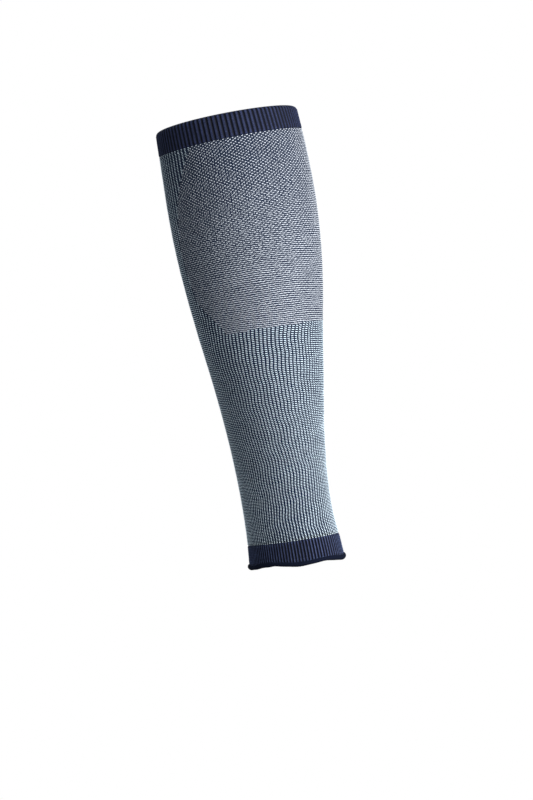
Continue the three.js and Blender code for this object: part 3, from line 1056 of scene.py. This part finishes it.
roll_rings = [roll_ring(side) for side in range(ROLL_SIDES)]
rolled_edge = closed_shell("rolled_edge_bead", roll_rings, range(ROLL_SIDES))
rolled_edge.data.materials.append(roll_yarn_and_shade)
print("rolled_edge_bead:", len(rolled_edge.data.polygons), "faces")

# %% [markdown]
# ## Riding on the frame
# The sleeve is one body, so every piece rides on it and stands for its own solid.

# %% Ride and replace
for guide in (leg_guide, top_guide, ankle_guide, stitch):
    bpy.data.objects.remove(guide)

RIB_PIECES = [rib_stitches_lower, rib_stitches_middle, rib_stitches_upper]
LEG_PIECES = [leg_ground, calf_stitches, calf_filling, *RIB_PIECES]
STANDS_FOR = [
    (LEG_PIECES, "leg_tube", "leg_knit"),
    ([top_welt, top_welt_stitches], "top_welt", "welt_knit"),
    ([ankle_welt, ankle_welt_stitches], "ankle_welt", "welt_knit"),
    ([rolled_edge], "rolled_edge", "roll_knit"),
]
for pieces, node, slot in STANDS_FOR:
    for piece in pieces:
        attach(piece, "root")
        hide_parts(node)

# %% [markdown]
# ## Floor, light and camera
# The sleeve is shown where it was worn, some way above a plain white floor, with a large soft
# light to the right, a small one low on the left and a weak fill. The camera looks level, from
# behind the calf.

# %% Floor
FLOOR = -0.40
bpy.ops.mesh.primitive_circle_add(vertices=96, radius=6, fill_type="NGON", location=(0, 0, FLOOR))
floor = bpy.context.object
floor.name = "floor"
floor_material = bpy.data.materials.new("floor_white")
floor_material.use_nodes = True
floor_nodes, floor_link = floor_material.node_tree.nodes, floor_material.node_tree.links.new
floor_shader = floor_nodes["Principled BSDF"]
floor_shader.inputs["Base Color"].default_value = (0.3, 0.3, 0.3, 1)
floor_shader.inputs["Roughness"].default_value = 0.9
glow = floor_nodes.new("ShaderNodeEmission")
seen = floor_nodes.new("ShaderNodeLightPath")
either = floor_nodes.new("ShaderNodeMixShader")
floor_link(seen.outputs["Is Camera Ray"], either.inputs["Fac"])
floor_link(floor_shader.outputs[0], either.inputs[1])
floor_link(glow.outputs[0], either.inputs[2])
floor_link(either.outputs[0], floor_nodes["Material Output"].inputs["Surface"])
floor.data.materials.append(floor_material)

# %% Camera
VIEW_TURN = 145
view = Vector((math.sin(math.radians(VIEW_TURN)), -math.cos(math.radians(VIEW_TURN)), 0))
right = Vector((math.cos(math.radians(VIEW_TURN)), math.sin(math.radians(VIEW_TURN)), 0))
camera_data = bpy.data.cameras.new("camera")
camera_data.lens = 126
camera_data.sensor_width = 36
camera = bpy.data.objects.new("camera", camera_data)
camera.location = view * 2.1 + right * 0.01905 + Vector((0, 0, -0.141))
camera.rotation_mode = "QUATERNION"
camera.rotation_quaternion = (-view).to_track_quat("-Z", "Y")
bpy.context.scene.collection.objects.link(camera)
bpy.context.scene.camera = camera
bpy.context.scene.view_settings.view_transform = "Standard"


# %% Light
def area_light(name, heading, height, distance, size, power, colour=(1, 1, 1)):
    """A square soft light, `heading` degrees to the right of the camera's side."""
    data = bpy.data.lights.new(name, "AREA")
    data.size = size
    data.energy = power
    data.color = colour
    light = bpy.data.objects.new(name, data)
    angle = math.radians(heading)
    aim = Vector((0, 0, -0.1))
    side = view * math.cos(angle) + right * math.sin(angle)
    light.location = aim + side * distance + Vector((0, 0, height))
    light.rotation_mode = "QUATERNION"
    light.rotation_quaternion = (aim - light.location).to_track_quat("-Z", "Y")
    bpy.context.scene.collection.objects.link(light)
    return light


area_light("key", 44, 0.5, 1.6, 1.1, 66, (0.98, 0.985, 1.0))
area_light("low_left", -45, -0.45, 0.9, 0.5, 10.5, (0.94, 0.97, 1.0))

world = bpy.data.worlds.new("studio")
bpy.context.scene.world = world
world.use_nodes = True
world_nodes, world_link = world.node_tree.nodes, world.node_tree.links.new
seen_white = world_nodes["Background"]
seen_white.inputs["Color"].default_value = (1, 1, 1, 1)
fill = world_nodes.new("ShaderNodeBackground")
fill.inputs["Color"].default_value = (0.84, 0.94, 1.0, 1)
fill.inputs["Strength"].default_value = 0.58
path = world_nodes.new("ShaderNodeLightPath")
choose = world_nodes.new("ShaderNodeMixShader")
world_link(path.outputs["Is Camera Ray"], choose.inputs["Fac"])
world_link(fill.outputs[0], choose.inputs[1])
world_link(seen_white.outputs[0], choose.inputs[2])
world_link(choose.outputs[0], world_nodes["World Output"].inputs["Surface"])
